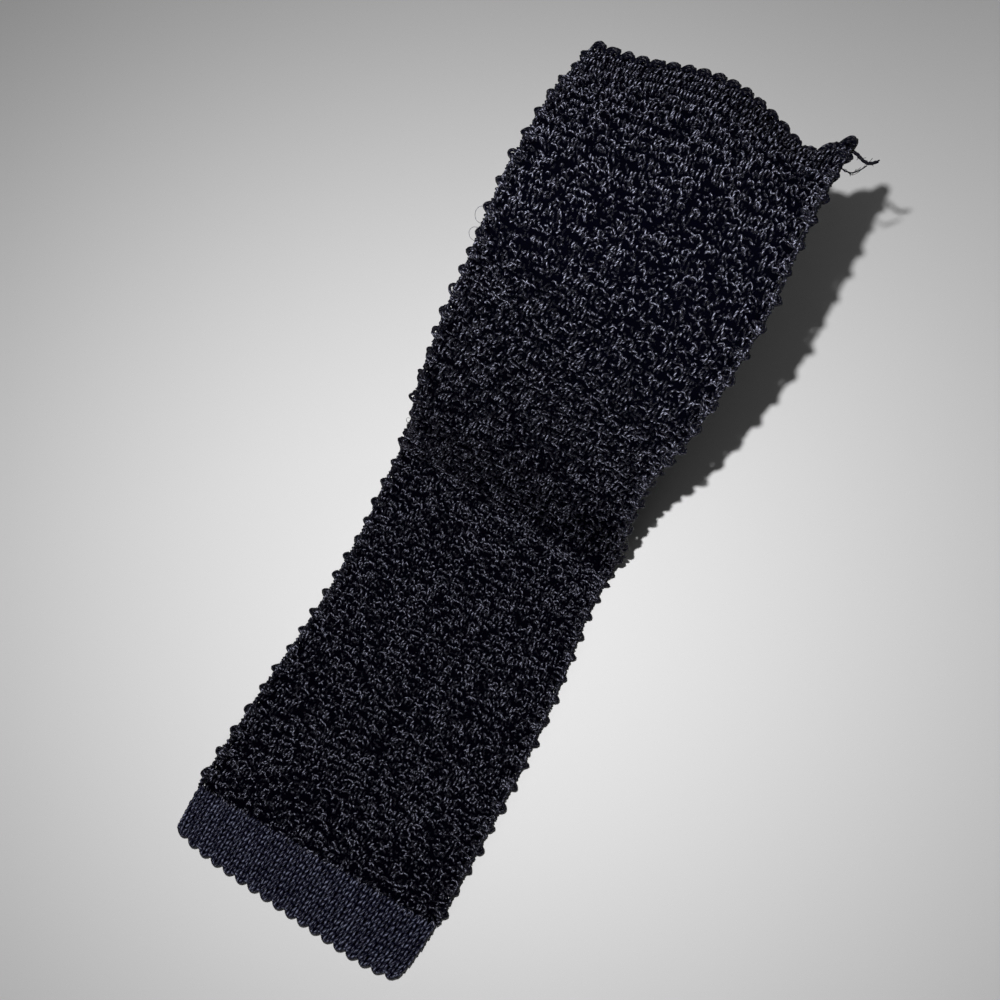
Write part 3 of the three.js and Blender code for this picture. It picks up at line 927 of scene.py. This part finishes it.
class KNITTIE_OT_blade(Operator):
    """Knit the blade in its crinkled tuck stitch"""

    bl_idname = "object.knit_tie_blade"
    bl_label = "Blade"

    def execute(self, context):
        sizes, look, _ = settings_of(context)
        rng = np.random.default_rng(SEED + 1)
        layout = blade_layout(sizes)
        shape = (sizes.blade_courses, sizes.blade_wales)
        chart = np.moveaxis(np.array([[STITCHES[name] for name in row] for row in CHART]), -1, 0)
        rows = np.arange(sizes.blade_courses) % len(CHART)
        columns = np.arange(sizes.blade_wales) % WALES_PER_MOTIF
        stitch = {name: chart[i][np.ix_(rows, columns)] for i, name in enumerate(STITCH_COLUMNS)}
        stitch["rise"] = stitch["rise"] * rng.normal(1, RISE_VARIES, shape)
        stitch["sway"] = stitch["sway"] * rng.normal(1, SWAY_VARIES, shape)
        stitch["swing"] = stitch["swing"] * np.where(rng.random(shape) < TURNED_SHARE, -1, 1)
        quarters = (sizes.blade_courses, sizes.blade_wales * 4)
        jitter = uneven(rng, quarters, sizes.unevenness, BLADE_FACE_STRAY)
        course = np.arange(sizes.blade_courses)
        last = sizes.blade_courses - RIDGED_COURSES
        climbing = (sizes.blade_courses - RIDGE_RISE, sizes.blade_courses)
        ridge = np.interp(course, climbing, (LOW_RIDGE_LIFT, RIDGE_LIFT))
        stitch["lift"] += (ridge * np.cos(np.pi * course))[:, None]
        stitch["swing"][last:] = np.abs(stitch["swing"][last:])
        for shift in jitter:
            shift[last:] *= RIDGE_CALM
        edges = np.linspace(0, sizes.blade_courses, BLADE_PIECES + 1).astype(int)
        for number, (low, high) in enumerate(zip(edges[:-1], edges[1:]), 1):
            yarns = Yarns(5)
            part = slice(low, high)
            knit_courses(
                yarns, np.arange(low, high, dtype=float), sizes.blade_wales,
                {name: values[part] for name, values in stitch.items()}, layout, sizes.yarn_diameter / MM,
                BLADE_POINTS, [j[part] for j in jitter])
            self.lay_held_loops(yarns, low, min(high, last), layout, sizes, rng)
            piece = yarns.piece(f"blade_stitches_{number}")
            finish_piece(piece, blade_silk(look), "blade_knit", "blade")
        return {"FINISHED"}

    def lay_held_loops(self, yarns, low, high, layout, sizes, rng):
        """The crinkled loops that the tuck stitch holds on the face and the back."""
        rows = np.arange(low + 0.3, high - 0.5, HELD_LOOP_PITCH)
        columns = np.arange(1.0, sizes.blade_wales - 0.5, HELD_LOOP_PITCH)
        grid = np.stack(np.meshgrid(columns, rows), -1)
        grid[1::2, :, 0] += HELD_LOOP_PITCH / 2
        places = grid.reshape(-1, 2) + rng.normal(0, HELD_LOOP_STRAY, (grid.size // 2, 2))
        places[:, 0] = np.clip(places[:, 0], HELD_LOOP_MARGIN, sizes.blade_wales - HELD_LOOP_MARGIN)
        count = len(places)
        wide = rng.random((count, 1)) < WIDE_SHARE

        def either(name):
            """A value for each loop, from the range of the wide loops or of the narrow ones."""
            ranges = (WIDE_LOOP[name], NARROW_LOOP[name])
            return np.where(wide, *(rng.uniform(low, high, (count, 1)) for low, high in ranges))

        sweep = either("sweep")
        heading = rng.normal(np.pi / 2, np.where(wide, WIDE_LOOP["lean"], NARROW_LOOP["lean"]))
        spot = np.linspace(-1, 1, HELD_LOOP_KNOTS)
        angle = heading + sweep / 2 * spot
        radius = either("radius")
        radius = radius * (1 + rng.normal(0, 0.1, (count, HELD_LOOP_KNOTS)))
        squash = rng.uniform(0.7, 1.15, (count, 1))
        yarn = sizes.yarn_diameter / MM * HELD_LOOP_YARN
        face = CLOTH_THICKNESS - yarn / 2 - rng.uniform(0, 0.25, (count, 1)) - HELD_LOOP_DIP * spot**4
        face = np.where(rng.random((count, 1)) < ON_BACK_SHARE, CLOTH_THICKNESS - face, face)
        wale = places[:, :1] + radius * squash * np.cos(angle)
        wale = np.clip(wale, HELD_YARN_MARGIN, sizes.blade_wales - HELD_YARN_MARGIN)
        shape = np.stack([wale - places[:, :1], radius * np.sin(angle), face], -1)
        lay_loops(yarns, shape, places, layout, yarn, 12)


class KNITTIE_OT_side_loops(Operator):
    """Make the picot loops along both side edges"""

    bl_idname = "object.knit_tie_side_loops"
    bl_label = "Side loops"

    def execute(self, context):
        sizes, look, _ = settings_of(context)
        rng = np.random.default_rng(SEED + 2)
        yarns = Yarns(6)
        middles, pitch = picot_rows()
        count = len(middles)
        yarn = sizes.edge_yarn / MM * SIDE_LOOP_YARN
        reach = PICOT_REACH - yarn / 2
        # Knots as (outwards, along, height) from the edge of the cloth
        loops = (
            [(-1.9, -0.55, 1.4), (-0.7, -0.9, 1.9), (0.35, -0.8, 2.0), (reach, -0.1, 1.7), (0.5, 0.75, 1.55),
             (-0.5, 0.85, 1.4), (-1.9, 0.5, 1.3)],
            [(-1.9, -0.3, 0.9), (-0.6, -0.7, 0.6), (0.35, -0.6, 0.6), (reach - 0.1, 0.15, 0.9),
             (0.4, 0.7, 1.1), (-0.5, 0.6, 1.7), (-1.6, 0.2, 2.1)],
            [(-1.7, 0.3, 1.9), (-0.8, 0.1, 2.1), (0.2, -0.25, 2.05), (0.6, 0.0, 1.6), (0.1, 0.25, 1.2),
             (-1.2, 0.1, 1.2)],
        )
        for side, drawn_in in zip((-1, 1), SIDE_LOOPS_DRAWN_IN):
            for knots in loops:
                shape = np.array(knots) + rng.normal(0, 0.1, (count, len(knots), 3))
                shape[..., 0] -= np.abs(rng.normal(drawn_in, 0.2, (count, 1)))
                route = smooth_route(shape, 2 * len(knots) + 3)
                along = middles[:, None] + route[..., 1] * pitch / SIDE_LOOP_DRAWN_PITCH
                along = along + rng.normal(0, 0.12, (count, 1))
                across = side * (half_width(along) + route[..., 0])
                height = np.clip(route[..., 2], yarn / 2, CLOTH_THICKNESS)
                yarns.add(cloth_point(along, across, height), directions(along)[2], yarn, SIDE_SHADE * height)
            along = np.arange(WELT_LENGTH, CLOTH_LENGTH - CAST_OFF_LENGTH, WINDING_STEP)
            for height, turns, start, swing in WINDING_YARNS:
                phase = 2 * np.pi * turns * along / pitch + start + rng.normal(0, 0.5, along.shape)
                across = side * (half_width(along) - yarn / 2 - WINDING_INSET + swing * np.sin(phase))
                raised = height + WINDING_RISE * np.cos(phase)
                path = cloth_point(along, across, raised)[None]
                yarns.add(path, directions(along)[2], yarn * SIDE_LOOP_YARN, SIDE_SHADE * raised[None])
        piece = yarns.piece("side_loops")
        finish_piece(piece, blade_silk(look), "blade_knit", "blade")
        return {"FINISHED"}


class KNITTIE_OT_cast_off(Operator):
    """Make the chained bumps of the cast-off edge"""

    bl_idname = "object.knit_tie_cast_off"
    bl_label = "Cast-off edge"

    def execute(self, context):
        sizes, look, _ = settings_of(context)
        rng = np.random.default_rng(SEED + 3)
        yarns = Yarns(6)
        half = half_width(CLOTH_LENGTH)
        spacing = 2 * half / CAST_OFF_BUMPS
        middles = -half + (np.arange(CAST_OFF_BUMPS) + 0.5) * spacing
        yarn = sizes.edge_yarn / MM * CAST_OFF_YARN
        top = CLOTH_LENGTH - yarn / 2
        # Knots as (across, along from the edge, height)
        loops = (
            [(-1.2, -2.7, 1.7), (-0.95, -1.5, 2.2), (-0.65, -0.4, 2.1), (0.0, 0.0, 1.9), (0.65, -0.4, 2.1),
             (0.95, -1.5, 2.2), (1.2, -2.7, 1.7)],
            [(-1.2, -2.7, 0.8), (-0.95, -1.5, 0.4), (-0.65, -0.4, 0.5), (0.0, 0.0, 0.7), (0.65, -0.4, 0.5),
             (0.95, -1.5, 0.4), (1.2, -2.7, 0.8)],
            [(-1.5, -1.8, 1.6), (-0.8, -1.3, 2.3), (-0.1, -0.9, 2.45), (0.45, -0.7, 2.2), (0.5, -0.5, 1.3),
             (0.1, -0.7, 0.4), (-0.6, -1.5, 0.3)],
            [(-0.4, -2.6, 2.0), (0.2, -1.9, 2.4), (0.9, -1.6, 2.2), (1.5, -1.9, 1.5), (1.7, -2.4, 1.0),
             (1.2, -2.9, 0.6), (0.4, -3.0, 0.5)],
        )
        for knots in loops:
            shape = np.array(knots) + rng.normal(0, 0.08, (CAST_OFF_BUMPS, len(knots), 3))
            route = smooth_route(shape, 2 * len(knots) + 3)
            along = top + route[..., 1]
            across = middles[:, None] + route[..., 0] * spacing / CAST_OFF_DRAWN_PITCH
            across = np.clip(across, yarn / 2 - half, half - yarn / 2)
            seen = EDGE_SHADE * route[..., 2]
            yarns.add(cloth_point(along, across, route[..., 2]), directions(along)[2], yarn, seen)
        piece = yarns.piece("cast_off_chain")
        finish_piece(piece, blade_silk(look), "edge_knit", "cast_off_edge")
        return {"FINISHED"}


class KNITTIE_OT_loose_yarn(Operator):
    """Make the loose, fraying yarn at the corner of the cast-off edge"""

    bl_idname = "object.knit_tie_loose_yarn"
    bl_label = "Loose yarn"

    def execute(self, context):
        _, look, _ = settings_of(context)
        along = CLOTH_LENGTH - CAST_OFF_LENGTH
        side = half_width(CLOTH_LENGTH) + PIECE_GAP + TAIL_GAP
        root = cloth_point(along, side, CLOTH_THICKNESS / 2)
        run, width, face = directions(CLOTH_LENGTH)
        knots = np.array([(-0.25, 0.0, 0.0), (0.0, 0.0, 0.0), (0.2, 0.0, -0.07), (0.45, 0.02, -0.11),
                          (0.61, 0.04, -0.04), (0.76, 0.06, 0.1)]) * YARN_TAIL_REACH
        axes = np.stack([width, run, face])
        middle = smooth_route(root + knots @ axes, TAIL_STEPS)
        yarns = Yarns(6)
        turn = np.linspace(0, 2 * np.pi * TAIL_TURNS, TAIL_STEPS)[:, None]
        taper = np.interp(np.arange(TAIL_STEPS), [0, 20, 34, 39], [0.34, 0.3, 0.4, 0.3])
        for start in (0, 2 * np.pi / 3, 4 * np.pi / 3):
            offset = PLY_OFFSET * (np.cos(turn + start) * run + np.sin(turn + start) * face)
            yarns.add((middle + offset)[None], face, taper[None], CLOTH_THICKNESS / 2)
        # A thinner ply that leaves the side edge lower down and reaches up to the first
        low = CLOTH_LENGTH - LOW_PLY_FROM_END
        below = cloth_point(low, half_width(low), CLOTH_THICKNESS / 2)
        reach = np.array([(-0.8, 0, 0), (0.8, 0, -0.1), (2.0, 0, 0.16), (3.0, 0, 1.25), (3.6, 0, 2.33)])
        second = smooth_route(below + reach @ axes, 24)
        yarns.add(second[None], face, LOW_PLY_DIAMETER, CLOTH_THICKNESS / 2)
        # Fine fibres that have come away from both plies
        rng = np.random.default_rng(SEED + 4)
        for line, count in ((middle, 7), (second, 5)):
            first = rng.integers(2, len(line) - 14, count)
            for start in first:
                bend = rng.normal(0, 0.5, (4, 3)) * np.linspace(0, 1, 4)[:, None]
                fibre = smooth_route(line[start:start + 12:3] + bend, 10)
                yarns.add(fibre[None], face, FRAYED_DIAMETER, CLOTH_THICKNESS / 2)
        piece = yarns.piece("loose_plies")
        finish_piece(piece, blade_silk(look), "loose_yarn", "yarn_tail")
        return {"FINISHED"}


class KNITTIE_OT_stray_fibres(Operator):
    """Make the fine pale fibres that stand out from the left edge"""

    bl_idname = "object.knit_tie_stray_fibres"
    bl_label = "Stray fibres"

    def execute(self, context):
        _, look, _ = settings_of(context)
        yarns = Yarns(5)
        for along, length, reach in STRAY_FIBRES:
            # Knots as (along, outwards) shares of one arch
            arch = np.array([(-0.5, -0.4), (-0.45, 0.5), (-0.1, 1.0), (0.3, 0.75), (0.5, -0.3)])
            route = smooth_route(np.stack([along + length * arch[:, 0], reach * arch[:, 1]], -1), 16)
            across = -half_width(along) - 0.3 - route[:, 1]
            points = cloth_point(route[:, 0], across, CLOTH_THICKNESS * 0.6)
            yarns.add(points[None], directions(along)[2], STRAY_DIAMETER, CLOTH_THICKNESS)
        piece = yarns.piece("stray_fibres")
        material = shared_material(
            "pale_fibre", lambda: silk_material("pale_fibre", look.fibre, look.fibre, look))
        finish_piece(piece, material, "blade_knit", "blade")
        return {"FINISHED"}


class KNITTIE_PT_panel(Panel):
    """Sizes, colours and pieces of the knit tie"""

    bl_idname = "KNITTIE_PT_panel"
    bl_label = "Knit Tie"
    bl_space_type = "VIEW_3D"
    bl_region_type = "UI"
    bl_category = "Knit Tie"

    def draw(self, context):
        for group in settings_of(context):
            box = self.layout.box()
            for name in group.__annotations__:
                box.prop(group, name)
        for operator in OPERATORS:
            self.layout.operator(operator.bl_idname)


GROUPS = {"knit_tie_sizes": KnitSizes, "knit_tie_look": SilkLook, "knit_tie_studio": StudioSetup}
OPERATORS = (
    KNITTIE_OT_stage,
    KNITTIE_OT_shade_sheet,
    KNITTIE_OT_welt,
    KNITTIE_OT_blade,
    KNITTIE_OT_side_loops,
    KNITTIE_OT_cast_off,
    KNITTIE_OT_loose_yarn,
    KNITTIE_OT_stray_fibres,
)


def register():
    for name, group in GROUPS.items():
        bpy.utils.register_class(group)
        setattr(bpy.types.Scene, name, PointerProperty(type=group))
    for made in (*OPERATORS, KNITTIE_PT_panel):
        bpy.utils.register_class(made)


def unregister():
    for made in (KNITTIE_PT_panel, *reversed(OPERATORS)):
        bpy.utils.unregister_class(made)
    for name, group in GROUPS.items():
        delattr(bpy.types.Scene, name)
        bpy.utils.unregister_class(group)


def main():
    register()
    bpy.ops.object.knit_tie_stage()
    bpy.ops.object.knit_tie_ground()
    bpy.ops.object.knit_tie_welt()
    bpy.ops.object.knit_tie_blade()
    bpy.ops.object.knit_tie_side_loops()
    bpy.ops.object.knit_tie_cast_off()
    bpy.ops.object.knit_tie_loose_yarn()
    bpy.ops.object.knit_tie_stray_fibres()


if __name__ == "__main__":
    main()
